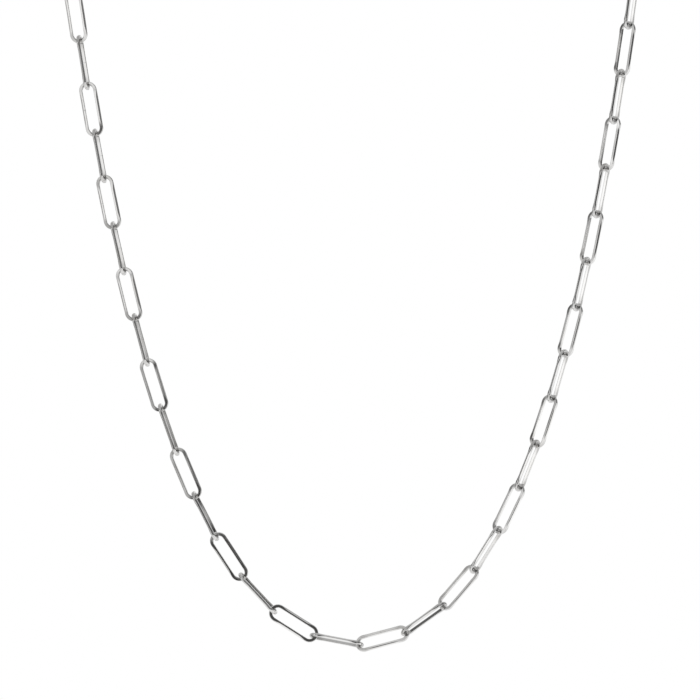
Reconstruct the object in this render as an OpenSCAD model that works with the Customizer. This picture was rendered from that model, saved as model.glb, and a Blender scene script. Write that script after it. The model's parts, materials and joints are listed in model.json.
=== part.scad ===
// Paperclip chain necklace: long oval links, each turned a quarter against the next.
// The front hangs in a free curve, and the hidden stretch goes round the nape to the clasp.
// Millimetres, +Z up, front towards -Y, origin on the chain's centre line at the nape.

/* [Links] */
// Outside length of one link
link_length = 11.2; // [9.5:0.1:13]
// Outside width of one link
link_width = 3.6; // [3.2:0.1:4.5]
// Width of the wire, measured across a link's flat face
wire_width = 0.7; // [0.55:0.05:0.8]
// Thickness of the wire, measured through a link's flat face
wire_thickness = 0.66; // [0.5:0.02:0.72]
// Bevel on the edges round the outside of a link
outer_bevel = 0.18; // [0.05:0.01:0.22]
// Bevel on the edges round the inside of a link
inner_bevel = 0.12; // [0.05:0.01:0.2]
// Play between two links, or a link and the clasp, where they cross
play = 0.32; // [0.3:0.01:0.4]

/* [Chain] */
// Links on the right-hand half, and the left-hand half has one more
right_links = 23; // [22:1:26]
// Links on each side that hang free in the front plane
front_links = 16; // [14:1:16]
// Radius of the hanging curve at its lowest point
sag_radius = 21; // [18:0.1:24]
// Share of a pitch by which the lowest joint lies to the right of the lowest point
low_shift = 0.09; // [-0.5:0.01:0.5]
// How far the hidden stretch leans back from upright at the nape, in degrees
nape_lean = 70; // [30:1:80]
// Roll of the links on the left arm about the chain, in degrees
left_roll = -5; // [-30:1:30]
// Roll of the links on the right arm about the chain, in degrees
right_roll = 30; // [-30:1:30]

/* [Clasp] */
// Overall length of the clasp
clasp_length = 12.4; // [11:0.1:15]
// Overall width of the clasp
clasp_width = 4.8; // [4.2:0.1:6]
// Width of the bar round the clasp's long opening
clasp_bar = 1; // [0.7:0.05:1.2]
// Thickness of the clasp
clasp_thickness = 1; // [0.7:0.05:1.1]
// Bevel on the edges of the clasp
clasp_bevel = 0.25; // [0.1:0.01:0.3]
// Diameter of the hole in the clasp's eye
eye_hole = 1.5; // [1.3:0.05:2]
// Width of the metal round the eye
eye_wall = 0.7; // [0.6:0.05:0.9]

/* [Hidden] */
$fn = 72;

// Share of the hidden stretch over which the chain leans back
lean_share = 0.8;
// Where the roll changes from the left arm's to the right arm's, in links from the lowest joint
roll_from = -3.1;
roll_to = 0.5;
// Overlap by which the clasp's eye is joined to its long loop
eye_overlap = 0.5;
// Steps and limits of the search for the bend that closes the loop
closing_steps = 40;
least_bend = 0.3;
most_bend = 20;

silver = [0.8, 0.8, 0.8];

pitch = link_length - 2 * wire_width - play;
left_links = right_links + 1;
clasp_reach = clasp_length - clasp_bar - eye_wall - play;
chain_length = (left_links + right_links) * pitch + clasp_reach;
front_length = front_links * pitch;
hidden_length = chain_length / 2 - front_length;

function smooth(t) = let (c = max(0, min(1, t))) c * c * (3 - 2 * c);
function unit(v) = v / norm(v);
function mirrored(v) = [-v.x, v.y, v.z];

// Slope of a free hanging chain, which grows with the length that hangs below
function slope(s) = atan(s / sag_radius);

// Share of the hidden stretch passed at length s from the lowest joint
function hidden_share(s) = max(0, min(1, (s - front_length) / hidden_length));
function lean(s) = nape_lean * sin(90 * min(1, hidden_share(s) / lean_share));

// Turn inwards from upright, quick at first for a large bend and even for a bend of 1
function inward(s, bend) =
    let (start = slope(front_length) - 90)
    start + (90 - start) * (1 - pow(1 - hidden_share(s), bend));

// Direction of the right half at length s from the lowest joint
function heading(s, bend) =
    s <= front_length
    ? [cos(slope(s)), 0, sin(slope(s))]
    : let (u = inward(s, bend), b = lean(s)) [-sin(u), cos(u) * sin(b), cos(u) * cos(b)];

// Direction that the chain shows to the front at length s
function facing(s) = [0, -cos(lean(s)), sin(lean(s))];

// Length along the chain from its lowest point to the middle of a half's link number i
function middle(i, side) = (i - 0.5 + side * low_shift) * pitch;

// Direction of link number i, away from the lowest joint, in a half: side is 1 on the right, -1 on the left
function along(i, side, bend) =
    let (d = heading(middle(i, side), bend))
    side > 0 ? d : mirrored(d);

// Joints of a half, one pitch apart, from the lowest one up
function half_joints(side, count, bend) =
    [for (i = 0, p = [0, 0, 0]; i <= count; i = i + 1, p = p + pitch * along(i, side, bend)) p];

// How much too far apart the two ends are for the clasp
function excess(bend) =
    let (right = half_joints(1, right_links, bend)[right_links],
         left = half_joints(-1, left_links, bend)[left_links],
         gap = right - left)
    sign(gap.x) * norm(gap) - clasp_reach;

function closing_bend(low, high, steps) =
    let (middle = (low + high) / 2)
    steps == 0 ? middle
    : excess(middle) > 0 ? closing_bend(middle, high, steps - 1)
    : closing_bend(low, middle, steps - 1);

bend = closing_bend(least_bend, most_bend, closing_steps);
right_joints = half_joints(1, right_links, bend);
left_joints = half_joints(-1, left_links, bend);
right_end = right_joints[right_links];
left_end = left_joints[left_links];
middle_x = -low_shift * pitch;
nape = right_end + (left_end - right_end) * (right_end.x - middle_x) / (right_end.x - left_end.x);

// Roll of link number i in a half, which fades out towards the nape
function roll(i, side) =
    let (across = smooth((side * (i - 0.5) - roll_from) / (roll_to - roll_from)),
         fade = 1 - smooth(hidden_share(middle(i, side))))
    fade * (left_roll + (right_roll - left_roll) * across);

// Puts a child, made along X with its flat face up, at a point and in a direction
module laid(at, along, flat)
{
    x = unit(along);
    z = unit(flat - x * (flat * x));
    y = cross(z, x);
    multmatrix([
        [x.x, y.x, z.x, at.x],
        [x.y, y.y, z.y, at.y],
        [x.z, y.z, z.z, at.z],
        [0, 0, 0, 1]
    ]) children();
}

// Section of a bar at its place from a bend's axis, with its own bevels outside and inside
module bar_section(outer_r, width, thickness, outside, inside)
{
    inner_r = outer_r - width;
    h = thickness / 2;
    polygon([
        [inner_r, inside - h],
        [inner_r + inside, -h],
        [outer_r - outside, -h],
        [outer_r, outside - h],
        [outer_r, h - outside],
        [outer_r - outside, h],
        [inner_r + inside, h],
        [inner_r, h - inside]
    ]);
}

// Long ring with round ends, centred, along X
module long_ring(length, width, bar, thickness, outside, inside)
{
    straight = length - width;
    for (half_turn = [0, 180])
        rotate([0, 0, half_turn])
        {
            translate([-straight / 2, 0, 0])
                rotate([90, 0, 90])
                    linear_extrude(straight)
                        bar_section(width / 2, bar, thickness, outside, inside);
            translate([straight / 2, 0, 0])
                rotate([0, 0, -90])
                    rotate_extrude(angle = 180)
                        bar_section(width / 2, bar, thickness, outside, inside);
        }
}

module link()
{
    long_ring(link_length, link_width, wire_width, wire_thickness, outer_bevel, inner_bevel);
}

// One half of the chain, whose links face the front and the side in turn
module half_chain(side, joints)
{
    for (i = [1:len(joints) - 1])
    {
        front = facing(middle(i, side));
        outward = side * cross(along(i, side, bend), front);
        turned = roll(i, side);
        face_on = i % 2 == (side > 0 ? 1 : 0);
        flat = face_on
            ? front * cos(turned) - outward * sin(turned)
            : outward * cos(turned) + front * sin(turned);
        laid((joints[i - 1] + joints[i]) / 2 - nape, joints[i] - joints[i - 1], flat) link();
    }
}

module chain_left()
{
    color(silver) half_chain(-1, left_joints);
}

module chain_right()
{
    color(silver) half_chain(1, right_joints);
}

// Closed clasp: a long loop with a small eye, lying flat against the nape
module clasp()
{
    eye_r = eye_hole / 2 + eye_wall;
    loop_length = clasp_length - 2 * eye_r + eye_overlap;
    // From the middle of the two crossings to the middle of the whole clasp
    shift = (clasp_bar - eye_wall) / 2;
    flat = cross(facing(chain_length / 2), [1, 0, 0]);
    color(silver)
        laid((right_end + left_end) / 2 - nape, left_end - right_end, flat)
        {
            translate([shift + (clasp_length - loop_length) / 2, 0, 0])
                long_ring(loop_length, clasp_width, clasp_bar, clasp_thickness, clasp_bevel, clasp_bevel);
            translate([shift + eye_r - clasp_length / 2, 0, 0])
                rotate_extrude()
                    bar_section(eye_r, eye_wall, clasp_thickness, clasp_bevel, clasp_bevel);
        }
}

chain_left();
chain_right();
clasp();
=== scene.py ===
import json
import math
import random
from collections import namedtuple

import bmesh
import bpy
import numpy as np
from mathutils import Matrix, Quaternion, Vector


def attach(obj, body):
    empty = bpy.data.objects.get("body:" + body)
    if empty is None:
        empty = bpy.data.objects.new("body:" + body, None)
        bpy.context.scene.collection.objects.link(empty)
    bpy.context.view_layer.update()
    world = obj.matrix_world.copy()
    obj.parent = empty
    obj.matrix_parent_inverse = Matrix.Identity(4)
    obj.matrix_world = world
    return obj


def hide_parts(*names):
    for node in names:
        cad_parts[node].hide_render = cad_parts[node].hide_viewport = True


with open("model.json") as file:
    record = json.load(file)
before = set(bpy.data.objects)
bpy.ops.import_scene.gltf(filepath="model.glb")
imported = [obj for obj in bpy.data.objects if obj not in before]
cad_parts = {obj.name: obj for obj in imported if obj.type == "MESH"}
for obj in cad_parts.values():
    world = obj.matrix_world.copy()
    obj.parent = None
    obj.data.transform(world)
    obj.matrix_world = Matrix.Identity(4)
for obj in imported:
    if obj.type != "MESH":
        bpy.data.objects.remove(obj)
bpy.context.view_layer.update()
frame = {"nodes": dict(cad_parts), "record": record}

# A paperclip chain necklace of polished silver, hung in front of a white ground.
# Lengths are in metres, with the frame's axes: +Z up, the wearer's front towards -Y.

MM = 0.001
RIGHT = Vector((1, 0, 0))
FRONT = Vector((0, -1, 0))
UP = Vector((0, 0, 1))

# The links' wire

# Share of its width that is flat on its faces, along the rails and on the bends
RAIL_PLATE = 0.5
BEND_PLATE = 0.82
# Stretch at each end of a rail over which its section changes to that of the bend
FLARE = 1.6 * MM
# Power of the curve of its outer shoulders, where 2 is an ellipse and 1 a straight bevel
SHOULDER_POWER = 1.4
# Radius of its inner edges
INNER_EDGE = 0.1 * MM
# How far its faces lean outwards on the bends, where its outer side is stretched thin
BEND_LEAN = math.radians(2)
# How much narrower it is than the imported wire, and how much shorter a link is
WIDTH_TRIM = 0.02 * MM
LENGTH_TRIM = 0.04 * MM
# Share of its width, from the inside of a bend, that is worn where two links bear on each other, and
# painted there with dark contact shade
BEARING_REACH = 0.7
# Half the width of the seam in the middle of one rail
SEAM_HALF = 0.03 * MM

# How far one hand-closed link departs from the next

# Seeds of the two halves' random draws
LEFT_SEED = 63
RIGHT_SEED = 64
# Size of the wire's wobble, sideways and up, and the number of waves in it round one link
BOW = 0.012 * MM
WAVES = 4
TWIST = math.radians(0.7)
ROLL_SPREAD = math.radians(0.8)
# How far the right half's links have settled off a quarter turn from each other, each way
SETTLED = math.radians(2.5)

# The clasp

# Share of its bar's width that is flat on its faces, and the radius of its inner edges
CLASP_PLATE = 0.35
CLASP_EDGE = 0.3 * MM
# How far its eye runs into its long loop
EYE_OVERLAP = 0.5 * MM
# Angle from which the edge where they meet stays sharp
CREASE = math.radians(35)
# Stretches at its ends that tell the narrow eye from the wide loop
END_STRETCH = MM

# Meshes

# Divisions of half a turn, a rail, an inner edge and a shoulder
BEND_STEPS = 24
RAIL_STEPS = 14
EDGE_STEPS = 3
SHOULDER_STEPS = 9
# Distance within which two packed vertices are one, and by which one may lie past a rail
WELD = MM / 1000
NEAR = 0.1 * MM

# The silver

# Colours of the bare metal, of the film on it, and of the dirt in the seam, which also serves as painted
# shade on the bends and where links bear on each other
CHAIN_METAL = (0.955, 0.95, 0.94, 1)
CHAIN_FILM = (0.9, 0.89, 0.87, 1)
CLASP_METAL = (0.95, 0.94, 0.93, 1)
CLASP_FILM = (0.89, 0.88, 0.86, 1)
DIRT_AND_SHADE = (0.1, 0.095, 0.09, 1)
# Roughness of the bare metal
CHAIN_POLISH = 0.02
CLASP_POLISH = 0.08
# Waves for each metre of the clouds and the grain, and of the drawn lines and the scuffs: along the
# wire, across it and through it
CLOUD_SCALE = 260.0
GRAIN_SCALE = 2600.0
LINES_SCALE = (160.0, 9000.0, 9000.0)
SCUFFS_SCALE = (5200.0, 900.0, 900.0)
# Levels of its noise between which each mark comes in
FILM_LEVELS = (0.46, 0.74)
WEAR_AND_SHADE_LEVELS = (0.35, 0.8)
BEND_SHADE_LEVELS = (0.25, 0.7)
GRAIN_LEVELS = (0.35, 0.75)
LINES_LEVELS = (0.5, 0.72)
# How far a link's own tone shifts its film, and the grain its wear and painted contact shade
TONE_IN_FILM = 0.1
GRAIN_IN_WEAR_AND_SHADE = 0.2
# Share of painted shade on the least and the most shaded bends, of dirt in the seam, and of dirt with
# painted contact shade where the links bear
BEND_SHADE = (0.1, 0.3)
SEAM_DIRT = 0.4
BEARING_DIRT_AND_SHADE = 0.65
# What each mark adds to the roughness, and to the relief
ROUGHNESS = {"grain marks": 0.03, "line marks": 0.04, "film": 0.03, "wear": 0.2, "tone": 0.02}
RELIEF = {"lines": 0.5, "grain": 0.5, "scuffs": 0.4, "seam": -1.5}
RELIEF_STRENGTH = 0.5
RELIEF_DEPTH = 0.0012 * MM

# The photo's view

SENSOR = 36.0
# Width of the field in the plane of the chain, and the place of its middle from the lowest crossing
SEEN_WIDTH = 140.4 * MM
CENTRE_FROM_LOWEST = Vector((-1.6 * MM, 0, 59.45 * MM))
# Place of the camera from there, its roll and how far it sees
CAMERA_DISTANCE = 600 * MM
CAMERA_ASIDE = 37 * MM
CAMERA_RISE = 31 * MM
CAMERA_ROLL = math.radians(-0.35)
CAMERA_REACH = 20

# The floor

# How far it lies below the middle of the photo's field
FLOOR_DROP = 185 * MM
FLOOR_RADIUS = 0.6
FLOOR_SIDES = 128
# The two colours of its cloud, and the waves in that for each metre
FLOOR_COLOURS = ((0.90, 0.90, 0.895, 1), (0.93, 0.93, 0.925, 1))
FLOOR_CLOUD_SCALE = 40.0
FLOOR_ROUGHNESS = 0.9

# The light

# Share of light that the silver mirrors, for which the greys below allow
MIRRORED = 0.94

# Greys of the tent at angles from the front, before the cards
TENT = [
    # degrees, grey
    (0, 150),
    (30, 165),
    (60, 175),
    (100, 185),
    (150, 200),
    (180, 120),
]

# Soft cards on the tent, later ones in front: degrees right of the front and above it, half sizes,
# softness and grey
CARDS = [
    # across, height, half_width, half_height, softness, grey
    (10, -82, 70, 58, 0.4, 235),
    (90, -25, 30, 25, 0.3, 250),
    (72, 32, 20, 18, 0.3, 80),
    (122, 35, 8, 25, 0.3, 50),
    (4, 0, 22, 18, 0.3, 75),
    (-66, 14, 12, 14, 0.3, 180),
    (-72, 14, 6, 14, 0.3, 120),
    (-52, 11, 8, 10, 0.3, 250),
    (-92, -20, 12, 20, 0.3, 40),
    (42, 18, 12, 10, 0.3, 45),
    (40, -4, 16, 6, 0.3, 45),
    (22, -15, 9, 5, 0.3, 240),
    (-17, 3, 7, 8, 0.3, 232),
    (-68, 6, 8, 4, 0.3, 225),
    (-100, 15, 30, 5, 0.3, 80),
    (80, 11, 45, 3, 0.3, 105),
    (115, 3, 5, 15, 0.3, 60),
    (40, -22, 20, 8, 0.3, 245),
    (-14, -13, 5, 4, 0.3, 60),
    (-36, 32, 8, 6, 0.3, 90),
    (-30, 52, 8, 6, 0.3, 200),
    (165, 5, 5, 6, 0.3, 245),
]


def mount_place(name):
    """Place of one of the record's mounts."""
    for mount in frame["record"]["mounts"]:
        if mount["name"] == name:
            return Vector(mount["pos_m"])
    raise ValueError("the record has no mount named " + name)


LOWEST = mount_place("pendant_place")
PHOTO_CENTRE = LOWEST + CENTRE_FROM_LOWEST


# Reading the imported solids

def solid_numbers(mesh):
    """For each vertex of a bmesh, the number of the solid that it belongs to."""
    solid = np.full(len(mesh.verts), -1)
    count = 0
    for start in mesh.verts:
        if solid[start.index] >= 0:
            continue
        solid[start.index] = count
        waiting = [start]
        while waiting:
            for edge in waiting.pop().link_edges:
                for vert in edge.verts:
                    if solid[vert.index] < 0:
                        solid[vert.index] = count
                        waiting.append(vert)
        count += 1
    return solid


def triangles_of(node):
    """The node's welded vertices and triangles, as arrays, with the solid that each vertex belongs to."""
    mesh = bmesh.new()
    mesh.from_mesh(frame["nodes"][node].data)
    bmesh.ops.remove_doubles(mesh, verts=mesh.verts, dist=WELD)
    bmesh.ops.triangulate(mesh, faces=mesh.faces)
    mesh.verts.index_update()
    solid = solid_numbers(mesh)
    points = np.array([v.co for v in mesh.verts])
    corners = np.array([[v.index for v in f.verts] for f in mesh.faces])
    mesh.free()
    return points, corners, solid


def measured(points, corners):
    """Centre, long axis and flat axis of one flat, long solid, from the spread of its surface."""
    tri = points[corners]
    area = np.linalg.norm(np.cross(tri[:, 1] - tri[:, 0], tri[:, 2] - tri[:, 0]), axis=1) / 2
    middle = tri.mean(axis=1)
    centre = (area[:, None] * middle).sum(axis=0) / area.sum()
    tri = tri - centre
    middle = middle - centre
    # A triangle's spread is a twelfth of its area times its corners' products and nine of its middle's
    spread = np.einsum("t,tki,tkj->ij", area, tri, tri) / 12
    spread += np.einsum("t,ti,tj->ij", area, middle, middle) * 9 / 12
    axes = np.linalg.eigh(spread)[1]
    return centre, axes[:, 2], axes[:, 0]


def axes_of(along, flat):
    """The three axes of a flat, long solid: along, across and above it."""
    return np.array([along, np.cross(flat, along), flat])


def local(points, centre, along, flat):
    """Points as places along, across and above a flat, long solid."""
    return (points - centre) @ axes_of(along, flat).T


def ring_sizes(points, centre, along, flat):
    """Length, width, thickness and wire width of a long ring."""
    places = local(points, centre, along, flat)
    length, width, thickness = np.ptp(places, axis=0)
    on_rail = np.abs(places[:, 0]) < (length - width) / 2 + NEAR
    inner = np.abs(places[on_rail, 1]).min()
    return length, width, thickness, width / 2 - inner


def links_of(node):
    """The node's links in order from the lowest crossing, each with its place, axes and sizes."""
    points, corners, solid = triangles_of(node)
    found = []
    for k in range(solid.max() + 1):
        centre, along, flat = measured(points, corners[solid[corners[:, 0]] == k])
        found.append((centre, along, flat, ring_sizes(points[solid == k], centre, along, flat)))
    ordered = []
    here = np.array(LOWEST)
    # The links' faces take turns, so each is turned to the side of the last but one
    facing = [np.array(FRONT - UP), np.array(FRONT - UP)]
    while found:
        centre, along, flat, sizes = min(found, key=lambda f: np.linalg.norm(f[0] - here))
        found = [f for f in found if f[0] is not centre]
        if along @ (centre - here) < 0:
            along = -along
        if flat @ facing[0] < 0:
            flat = -flat
        facing = [facing[1], flat]
        ordered.append((centre, along, flat, sizes))
        here = centre
    return ordered


# Shapes

# A closed surface round a ring of wire: its points, their normals and its faces. For each point there
# are also its wire coordinates, how far it is on a bend and how far it is where two links bear on each
# other. The wire coordinates are the length from the seam, the place from the inner rim and the height.
Surface = namedtuple("Surface", "points normals faces wire bend bearing")


def smooth(t):
    """Smooth step of an array from 0 to 1."""
    t = np.clip(t, 0, 1)
    return t * t * (3 - 2 * t)


def turned(across, up, angle):
    """Two coordinates turned by an angle."""
    cos, sin = np.cos(angle), np.sin(angle)
    return across * cos - up * sin, across * sin + up * cos


def wire_section(width, thickness, plates, inner_edge):
    """Sections of a wire flattened on its faces, one for each share of flat in an array.

    Gives each point's place from the inner rim, its height, and its outward normal, once round.
    """
    each = np.ones(len(plates))
    half = thickness / 2
    shoulder = width * (1 - plates)
    upper = [(0 * each, (half - inner_edge) * each, -each, 0 * each)]
    for k in range(1, EDGE_STEPS + 1):
        turn = math.pi / 2 * k / EDGE_STEPS
        away = inner_edge * (1 - math.cos(turn))
        height = half - inner_edge * (1 - math.sin(turn))
        upper.append((away * each, height * each, -math.cos(turn) * each, math.sin(turn) * each))
    for k in range(SHOULDER_STEPS + 1):
        turn = math.pi / 2 * k / SHOULDER_STEPS
        x = max(0, math.sin(turn)) ** (2 / SHOULDER_POWER)
        z = max(0, math.cos(turn)) ** (2 / SHOULDER_POWER)
        out = x ** (SHOULDER_POWER - 1) / shoulder
        rise = z ** (SHOULDER_POWER - 1) / half * each
        size = np.hypot(out, rise)
        upper.append((width - shoulder + shoulder * x, half * z * each, out / size, rise / size))
    lower = [(away, -height, out, -rise) for away, height, out, rise in reversed(upper[:-1])]
    return np.array(upper + lower).transpose(1, 2, 0)


def leaning(section, thinning):
    """Sections whose faces draw together outwards, by a slope of its own for each section."""
    away, height, out, rise = section
    left_over = 1 - thinning * away
    return away, height * left_over, out * left_over + thinning * height * rise, rise


def ring_path(length, width):
    """Stations round a long ring along X: place on its spine, outward direction, length passed and bend.

    The bend is 1 all round the ends and fades to 0 along the rails. The whole way's length comes last.
    """
    straight = length - width
    half_turn = math.pi * (width / 2)
    rail_steps = RAIL_STEPS if straight > 0 else 0
    stations = []
    passed = 0
    for side in (1, -1):
        for k in range(BEND_STEPS):
            turn = math.pi * (k / BEND_STEPS - 0.5)
            stations.append((side * straight / 2, side * math.cos(turn), side * math.sin(turn),
                             passed + half_turn * k / BEND_STEPS, 1))
        passed += half_turn
        for k in range(rail_steps):
            share = 0.5 - 0.5 * math.cos(math.pi * k / rail_steps)
            from_bend = straight * min(share, 1 - share)
            stations.append((side * straight * (0.5 - share), 0, side,
                             passed + straight * share, 1 - from_bend / FLARE))
        passed += straight
    spine, out_x, out_y, along, bend = np.array(stations).T
    return spine, out_x, out_y, along, smooth(bend), passed


def wander(rng, passed, total, size):
    """A smooth closed wobble along a ring and its slope, of about the given size."""
    value = np.zeros(len(passed))
    slope = np.zeros(len(passed))
    for k in range(1, WAVES + 1):
        rate = 2 * math.pi * k / total
        phase = rng.uniform(0, 2 * math.pi)
        part = rng.gauss(0, size / k)
        value += part * np.sin(rate * passed + phase)
        slope += part * rate * np.cos(rate * passed + phase)
    return value, slope


def wobble(rng, passed, total):
    """Sideways and upward wobble of one ring's wire, each with its slope, and its twist.

    A ring without random draws has none.
    """
    if rng is None:
        none = np.zeros(len(passed))
        return (none, none), (none, none), none
    sideways = wander(rng, passed, total, BOW)
    upward = wander(rng, passed, total, BOW)
    return sideways, upward, wander(rng, passed, total, TWIST)[0]


def tube_faces(stations, sides):
    """Four-sided faces of a closed tube, whose points go once round it at each station."""
    here = np.arange(stations * sides).reshape(stations, sides)
    ahead = np.roll(here, -1, axis=0)
    faces = np.stack([here, np.roll(here, -1, axis=1), np.roll(ahead, -1, axis=1), ahead], axis=-1)
    return faces.reshape(-1, 4)


def ring_surface(length, width, wire, thickness, plates, inner_edge, lean=0, rng=None):
    """Surface of one long ring, about its own centre along X, with its flat side up.

    The plates are the wire's shares of flat on the rails and on the bends.
    """
    spine, out_x, out_y, passed, bend, total = ring_path(length, width)
    shares = plates[0] + (plates[1] - plates[0]) * bend
    section = wire_section(wire, thickness, shares, inner_edge)
    thinning = math.tan(lean) / (thickness / 2) * bend
    away, height, out, rise = leaning(section, thinning[:, None])
    (bow, bow_slope), (lift, lift_slope), twist = wobble(rng, passed, total)
    turned_away, turned_height = turned(away - wire / 2, height, twist[:, None])
    turned_out, turned_rise = turned(out, rise, twist[:, None])
    size = away.shape
    spine, dx, dy, passed, bend, bow, bow_slope, lift, lift_slope = (
        np.broadcast_to(row[:, None], size)
        for row in (spine, out_x, out_y, passed, bend, bow, bow_slope, lift, lift_slope))
    reach = width / 2 - wire / 2 + turned_away + bow
    points = np.stack([spine + dx * reach, dy * reach, turned_height + lift], axis=-1)
    outward = np.stack([dx, dy, np.zeros(size)], axis=-1)
    forward = np.stack([-dy, dx, np.zeros(size)], axis=-1)
    tilt = turned_out * bow_slope + turned_rise * lift_slope
    normals = outward * turned_out[..., None] + np.array([0, 0, 1.0]) * turned_rise[..., None]
    normals = normals - forward * tilt[..., None]
    normals /= np.linalg.norm(normals, axis=-1, keepdims=True)
    seam = (total - length + width) / 2
    wire_place = np.stack([passed - seam, away, height], axis=-1)
    bearing = np.abs(dx) * np.clip(1 - away / (BEARING_REACH * wire), 0, 1)
    return Surface(points.reshape(-1, 3), normals.reshape(-1, 3), tube_faces(*size),
                   wire_place.reshape(-1, 3), bend.ravel(), bearing.ravel())


def placed(surface, centre, along, flat):
    """Moves a ring made along X, flat side up, to its place."""
    axes = axes_of(along, flat)
    return surface._replace(points=centre + surface.points @ axes, normals=surface.normals @ axes)


def rolled(along, flat, angle):
    """The flat axis turned about the long one."""
    return flat * math.cos(angle) + np.cross(along, flat) * math.sin(angle)


def mesh_object(name, surfaces):
    """One mesh object from several closed surfaces, with what each point says about its wire."""
    def together(field):
        return np.concatenate([getattr(surface, field) for surface in surfaces])

    counts = [len(surface.points) for surface in surfaces]
    starts = np.repeat(np.cumsum([0] + counts[:-1]), [len(surface.faces) for surface in surfaces])
    faces = together("faces") + starts[:, None]
    mesh = bpy.data.meshes.new(name)
    mesh.from_pydata(together("points").tolist(), [], faces.tolist())
    mesh.polygons.foreach_set("use_smooth", np.ones(len(faces), bool))
    place = mesh.attributes.new("wire", "FLOAT_VECTOR", "POINT")
    place.data.foreach_set("vector", together("wire").astype(np.float32).ravel())
    numbers = np.repeat(np.arange(len(surfaces)), counts)
    for key, values in (("bend", together("bend")), ("bearing", together("bearing")), ("link", numbers)):
        layer = mesh.attributes.new(key, "FLOAT", "POINT")
        layer.data.foreach_set("value", values.astype(np.float32))
    mesh.normals_split_custom_set_from_vertices(together("normals").tolist())
    mesh.update()
    obj = bpy.data.objects.new(name, mesh)
    bpy.context.scene.collection.objects.link(obj)
    return obj


def half_chain(node, name, seed, settled):
    """The links that stand for one half of the chain, turned to and fro by how they have settled."""
    rng = random.Random(seed)
    surfaces = []
    for k, (centre, along, flat, (length, width, thickness, wire)) in enumerate(links_of(node)):
        surface = ring_surface(length - LENGTH_TRIM, width, wire - WIDTH_TRIM, thickness,
                               (RAIL_PLATE, BEND_PLATE), INNER_EDGE, BEND_LEAN, rng)
        to_and_fro = settled if k % 2 else -settled
        flat = rolled(along, flat, rng.gauss(0, ROLL_SPREAD) + to_and_fro)
        surfaces.append(placed(surface, centre, along, flat))
    return mesh_object(name, surfaces)


def clasp_axes(points, corners):
    """Centre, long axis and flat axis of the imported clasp, whose narrow eye is at the low end."""
    centre, along, flat = measured(points, corners)
    places = local(points, centre, along, flat)
    widths = [np.abs(places[np.abs(places[:, 0] - end) < END_STRETCH, 1]).max()
              for end in (places[:, 0].min(), places[:, 0].max())]
    if widths[0] > widths[1]:
        along = -along
    return centre, along, flat


def clasp_sizes(places):
    """Places of the clasp's two ends, its bar's width, and the radii of its eye and the hole in that."""
    low, high = places[:, 0].min(), places[:, 0].max()
    width = np.ptp(places[:, 1])
    # The eye is widest before a third of the clasp's width, and the loop starts after that
    at_eye = places[:, 0] < low + width / 3
    eye = np.abs(places[at_eye, 1]).max()
    hole = np.hypot(places[:, 0] - low - eye, places[:, 1]).min()
    on_rail = np.abs(places[:, 0] - high + width / 2) < NEAR
    bar = width / 2 - np.abs(places[on_rail, 1]).min()
    return low, high, bar, eye, hole


def fused(body, other):
    """Joins another object to a body, as one solid with sharp edges where they meet."""
    union = body.modifiers.new("joined", "BOOLEAN")
    union.operation = "UNION"
    union.solver = "EXACT"
    union.object = other
    bpy.context.view_layer.update()
    shaped = bpy.data.meshes.new_from_object(body.evaluated_get(bpy.context.evaluated_depsgraph_get()))
    body.modifiers.clear()
    body.data = shaped
    bpy.data.objects.remove(other)
    shaped.set_sharp_from_angle(angle=CREASE)
    return body


def closed_clasp(node, name):
    """The closed clasp: a long loop and an eye, cast in one."""
    points, corners, _ = triangles_of(node)
    centre, along, flat = clasp_axes(points, corners)
    places = local(points, centre, along, flat)
    low, high, bar, eye_radius, hole_radius = clasp_sizes(places)
    _, width, thickness = np.ptp(places, axis=0)
    loop_length = high - low - 2 * eye_radius + EYE_OVERLAP
    across = np.cross(flat, along)
    middle = centre + across * (places[:, 1].max() + places[:, 1].min()) / 2
    middle = middle + flat * (places[:, 2].max() + places[:, 2].min()) / 2

    def ring(length, breadth, wire, place):
        surface = ring_surface(length, breadth, wire, thickness, (CLASP_PLATE, CLASP_PLATE), CLASP_EDGE)
        return mesh_object(name, [placed(surface, middle + along * place, along, flat)])

    loop = ring(loop_length, width, bar, high - loop_length / 2)
    eye = ring(2 * eye_radius, 2 * eye_radius, eye_radius - hole_radius, low + eye_radius)
    return fused(loop, eye)


# Materials

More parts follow.
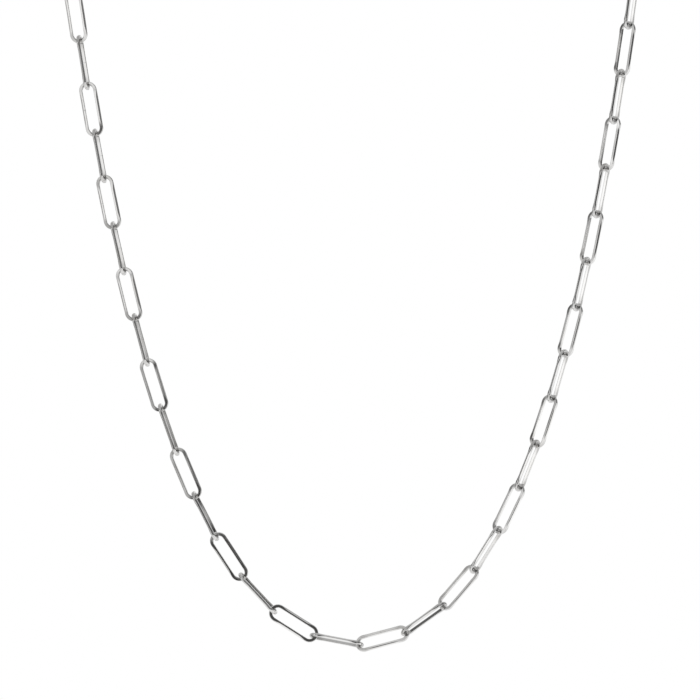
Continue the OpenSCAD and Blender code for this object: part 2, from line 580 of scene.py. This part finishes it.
class Nodes:
    """Short way to add and join nodes in one tree."""

    # Places of the mix node's colour sockets, which share their names with others
    FIRST_COLOUR = 6
    SECOND_COLOUR = 7
    MIXED_COLOUR = 2

    def __init__(self, tree):
        self.tree = tree
        tree.nodes.clear()

    def join(self, value, socket):
        """Links a node's output to a socket, or sets the socket to a plain value."""
        if isinstance(value, bpy.types.NodeSocket):
            self.tree.links.new(value, socket)
        else:
            socket.default_value = value

    def add(self, kind, inputs=None, **settings):
        """A new node with its inputs joined or set, and its settings."""
        node = self.tree.nodes.new(kind)
        for key, value in settings.items():
            setattr(node, key, value)
        for key, value in (inputs or {}).items():
            self.join(value, node.inputs[key])
        return node

    def math(self, operation, *values):
        """Result of one sum on numbers or sockets."""
        return self.add("ShaderNodeMath", dict(enumerate(values)), operation=operation).outputs[0]

    def weighted(self, values, weights):
        """Sum of the named values, each times its weight."""
        total = None
        for name, weight in weights.items():
            part = self.math("MULTIPLY", values[name], weight)
            total = part if total is None else self.math("ADD", total, part)
        return total

    def dot(self, a, b):
        """How far vector a reaches along vector b."""
        return self.add("ShaderNodeVectorMath", {0: a, 1: b}, operation="DOT_PRODUCT").outputs["Value"]

    def blend(self, share, a, b):
        """Number a where the share is 0, and b where it is 1."""
        return self.add("ShaderNodeMapRange", {"Value": share, "To Min": a, "To Max": b}).outputs["Result"]

    def span(self, value, low, high, to_low=0.0, to_high=1.0):
        """Smooth step of a value from one range to another."""
        inputs = {"Value": value, "From Min": low, "From Max": high, "To Min": to_low, "To Max": to_high}
        return self.add("ShaderNodeMapRange", inputs, interpolation_type="SMOOTHSTEP").outputs["Result"]

    def noise(self, vector, scale, detail=2.0, roughness=0.5):
        """Soft noise, mostly from 0.2 to 0.8."""
        inputs = {"Vector": vector, "Scale": scale, "Detail": detail, "Roughness": roughness}
        return self.add("ShaderNodeTexNoise", inputs).outputs["Fac"]

    def stretched_noise(self, vector, scales, roughness=0.5):
        """Noise with a scale of its own in each direction."""
        stretched = self.add("ShaderNodeMapping", {"Vector": vector, "Scale": scales}).outputs[0]
        return self.noise(stretched, 1.0, roughness=roughness)

    def mix(self, factor, a, b):
        """Colour a where the factor is 0, and b where it is 1."""
        made = self.add("ShaderNodeMix", {"Factor": factor}, data_type="RGBA")
        self.join(a, made.inputs[self.FIRST_COLOUR])
        self.join(b, made.inputs[self.SECOND_COLOUR])
        return made.outputs[self.MIXED_COLOUR]

    def attribute(self, name, output="Fac"):
        """A value that the mesh holds for each point."""
        return self.add("ShaderNodeAttribute", attribute_name=name).outputs[output]


def silver_marks(n):
    """The marks on the silver by name, each from about 0 to 1."""
    wire = n.attribute("wire", "Vector")
    solid = n.add("ShaderNodeTexCoord").outputs["Object"]
    bend = n.attribute("bend")
    link = n.attribute("link")
    tone = n.add("ShaderNodeTexWhiteNoise", {"W": link}, noise_dimensions="1D").outputs["Value"]
    cloud = n.noise(solid, CLOUD_SCALE, detail=3.0, roughness=0.6)
    grain = n.noise(solid, GRAIN_SCALE, detail=3.0, roughness=0.6)
    lines = n.stretched_noise(wire, LINES_SCALE)
    scuffs = n.stretched_noise(wire, SCUFFS_SCALE, roughness=0.7)
    along = n.add("ShaderNodeSeparateXYZ", {"Vector": wire}).outputs["X"]
    seam = n.span(n.math("ABSOLUTE", along), SEAM_HALF / 2, SEAM_HALF, 1.0, 0.0)
    film = n.span(n.math("ADD", cloud, n.math("MULTIPLY", tone, TONE_IN_FILM)), *FILM_LEVELS)
    bearing = n.math("ADD", n.attribute("bearing"), n.math("MULTIPLY", grain, GRAIN_IN_WEAR_AND_SHADE))
    worn_and_shaded = n.span(bearing, *WEAR_AND_SHADE_LEVELS)
    # Painted shade on the bends: their colour is darkened towards the dark colour, unevenly by the cloud
    dirt_and_shade = n.math("MULTIPLY", bend, n.span(cloud, *BEND_SHADE_LEVELS, *BEND_SHADE))
    dirt_and_shade = n.math("MAXIMUM", dirt_and_shade, n.math("MULTIPLY", seam, SEAM_DIRT))
    # Where the links bear, the dark colour is both worn-in dirt and painted contact shade between the
    # links
    dirt_and_shade = n.math("MAXIMUM", dirt_and_shade, n.math("MULTIPLY", worn_and_shaded, BEARING_DIRT_AND_SHADE))
    return {
        "tone": tone,
        "film": film,
        "dirt_and_shade": dirt_and_shade,
        "grain": grain,
        "grain marks": n.span(grain, *GRAIN_LEVELS),
        "lines": lines,
        "line marks": n.span(lines, *LINES_LEVELS),
        "scuffs": n.math("MULTIPLY", scuffs, bend),
        "seam": seam,
        "wear": n.math("MAXIMUM", worn_and_shaded, seam),
    }


def silver_material(name, metal, film, polish):
    """Polished silver with a thin uneven film, drawing lines and fine wear, with dirt in the seam, painted
    shade on the bends, and dirt with painted contact shade where the links bear.
    """
    material = bpy.data.materials.new(name)
    material.use_nodes = True
    n = Nodes(material.node_tree)
    marks = silver_marks(n)
    colour = n.mix(marks["dirt_and_shade"], n.mix(marks["film"], metal, film), DIRT_AND_SHADE)
    roughness = n.math("ADD", n.weighted(marks, ROUGHNESS), polish)
    bump = n.add("ShaderNodeBump", {"Strength": RELIEF_STRENGTH, "Distance": RELIEF_DEPTH,
                                    "Height": n.weighted(marks, RELIEF)})
    shader = n.add("ShaderNodeBsdfPrincipled", {"Base Color": colour, "Metallic": 1.0,
                                                "Roughness": roughness, "Normal": bump.outputs[0]})
    n.add("ShaderNodeOutputMaterial", {"Surface": shader.outputs[0]})
    return material


def floor_material():
    """Plain pale paint with a faint cloud in it."""
    material = bpy.data.materials.new("floor_paint")
    material.use_nodes = True
    n = Nodes(material.node_tree)
    place = n.add("ShaderNodeTexCoord").outputs["Object"]
    colour = n.mix(n.noise(place, FLOOR_CLOUD_SCALE, detail=3.0), *FLOOR_COLOURS)
    shader = n.add("ShaderNodeBsdfPrincipled", {"Base Color": colour, "Roughness": FLOOR_ROUGHNESS})
    n.add("ShaderNodeOutputMaterial", {"Surface": shader.outputs[0]})
    return material


# The studio

def direction(across, height):
    """A direction as seen from the chain: degrees to the right of the front and above it."""
    a, h = math.radians(across), math.radians(height)
    return Vector((math.sin(a) * math.cos(h), -math.cos(a) * math.cos(h), math.sin(h)))


def level(grey):
    """Light that shows as the given 8-bit grey in a silver mirror, by the curve of sRGB."""
    v = grey / 255
    return (v / 12.92 if v < 0.04 else ((v + 0.055) / 1.055) ** 2.4) / MIRRORED


def card_share(n, heading, across, height, half_width, half_height, softness):
    """How far inside one soft card a direction is, from 0 to 1."""
    centre = direction(across, height)
    right = Vector((-centre.y, centre.x, 0)).normalized()
    top = right.cross(centre)
    top = top if top.z > 0 else -top
    parts = []
    for axis, half in ((right, half_width), (top, half_height)):
        along = n.dot(heading, axis)
        parts.append(n.math("POWER", n.math("DIVIDE", along, math.sin(math.radians(half))), 2.0))
    reach = n.math("SQRT", n.math("ADD", parts[0], parts[1]))
    inside = n.span(reach, 1 - softness, 1 + softness, 1.0, 0.0)
    return n.math("MULTIPLY", inside, n.math("GREATER_THAN", n.dot(heading, centre), 0.0))


def tent_light(n, heading):
    """Light that the silver sees: a tent that is greyer to the front, with soft cards on it."""
    angle = n.math("DEGREES", n.math("ARCCOSINE", n.dot(heading, FRONT)))
    light = level(TENT[0][1])
    for (low, grey), (high, next_grey) in zip(TENT, TENT[1:]):
        light = n.math("ADD", light, n.span(angle, low, high, 0.0, level(next_grey) - level(grey)))
    for *card, grey in CARDS:
        light = n.blend(card_share(n, heading, *card), light, level(grey))
    return light


def make_world():
    """White ground behind the chain, and a light tent that shows in its reflections alone."""
    world = bpy.data.worlds.new("studio")
    world.use_nodes = True
    n = Nodes(world.node_tree)
    heading = n.add("ShaderNodeTexCoord").outputs["Generated"]
    in_mirror = n.add("ShaderNodeLightPath").outputs["Is Glossy Ray"]
    strength = n.blend(in_mirror, 1.0, tent_light(n, heading))
    background = n.add("ShaderNodeBackground", {"Color": (1, 1, 1, 1), "Strength": strength})
    n.add("ShaderNodeOutputWorld", {"Surface": background.outputs[0]})
    world.cycles.sampling_method = "NONE"
    bpy.context.scene.world = world
    bpy.context.scene.view_settings.view_transform = "Standard"


def make_floor():
    """Plain pale floor below the chain, which doesn't show in the silver."""
    mesh = bpy.data.meshes.new("floor")
    shape = bmesh.new()
    bmesh.ops.create_circle(shape, cap_ends=True, segments=FLOOR_SIDES, radius=FLOOR_RADIUS)
    shape.to_mesh(mesh)
    shape.free()
    mesh.materials.append(floor_material())
    floor = bpy.data.objects.new("floor", mesh)
    floor.location = PHOTO_CENTRE - UP * FLOOR_DROP
    floor.visible_glossy = False
    bpy.context.scene.collection.objects.link(floor)


def make_camera():
    """Near view of the front of the chain, from a little above it and to its right."""
    offset = RIGHT * CAMERA_ASIDE + UP * CAMERA_RISE
    offset += FRONT * math.sqrt(CAMERA_DISTANCE ** 2 - offset.length_squared)
    data = bpy.data.cameras.new("camera")
    data.sensor_width = SENSOR
    data.lens = SENSOR * CAMERA_DISTANCE / SEEN_WIDTH
    data.clip_end = CAMERA_REACH
    camera = bpy.data.objects.new("camera", data)
    camera.location = PHOTO_CENTRE + offset
    upright = (-offset).to_track_quat("-Z", "Y")
    camera.rotation_euler = (upright @ Quaternion((0, 0, 1), CAMERA_ROLL)).to_euler()
    bpy.context.scene.collection.objects.link(camera)
    bpy.context.scene.camera = camera


def dress(piece, node, material):
    """Gives a piece its material and body, and hides the node that it stands for."""
    piece.data.materials.clear()
    piece.data.materials.append(material)
    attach(piece, "root")
    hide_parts(node)


def main():
    make_camera()
    make_world()
    make_floor()
    chain_silver = silver_material("chain_silver", CHAIN_METAL, CHAIN_FILM, CHAIN_POLISH)
    clasp_silver = silver_material("clasp_silver", CLASP_METAL, CLASP_FILM, CLASP_POLISH)
    left = half_chain("chain_left", "chain_left_links", LEFT_SEED, 0)
    right = half_chain("chain_right", "chain_right_links", RIGHT_SEED, SETTLED)
    dress(left, "chain_left", chain_silver)
    dress(right, "chain_right", chain_silver)
    dress(closed_clasp("clasp", "closed_clasp"), "clasp", clasp_silver)


main()
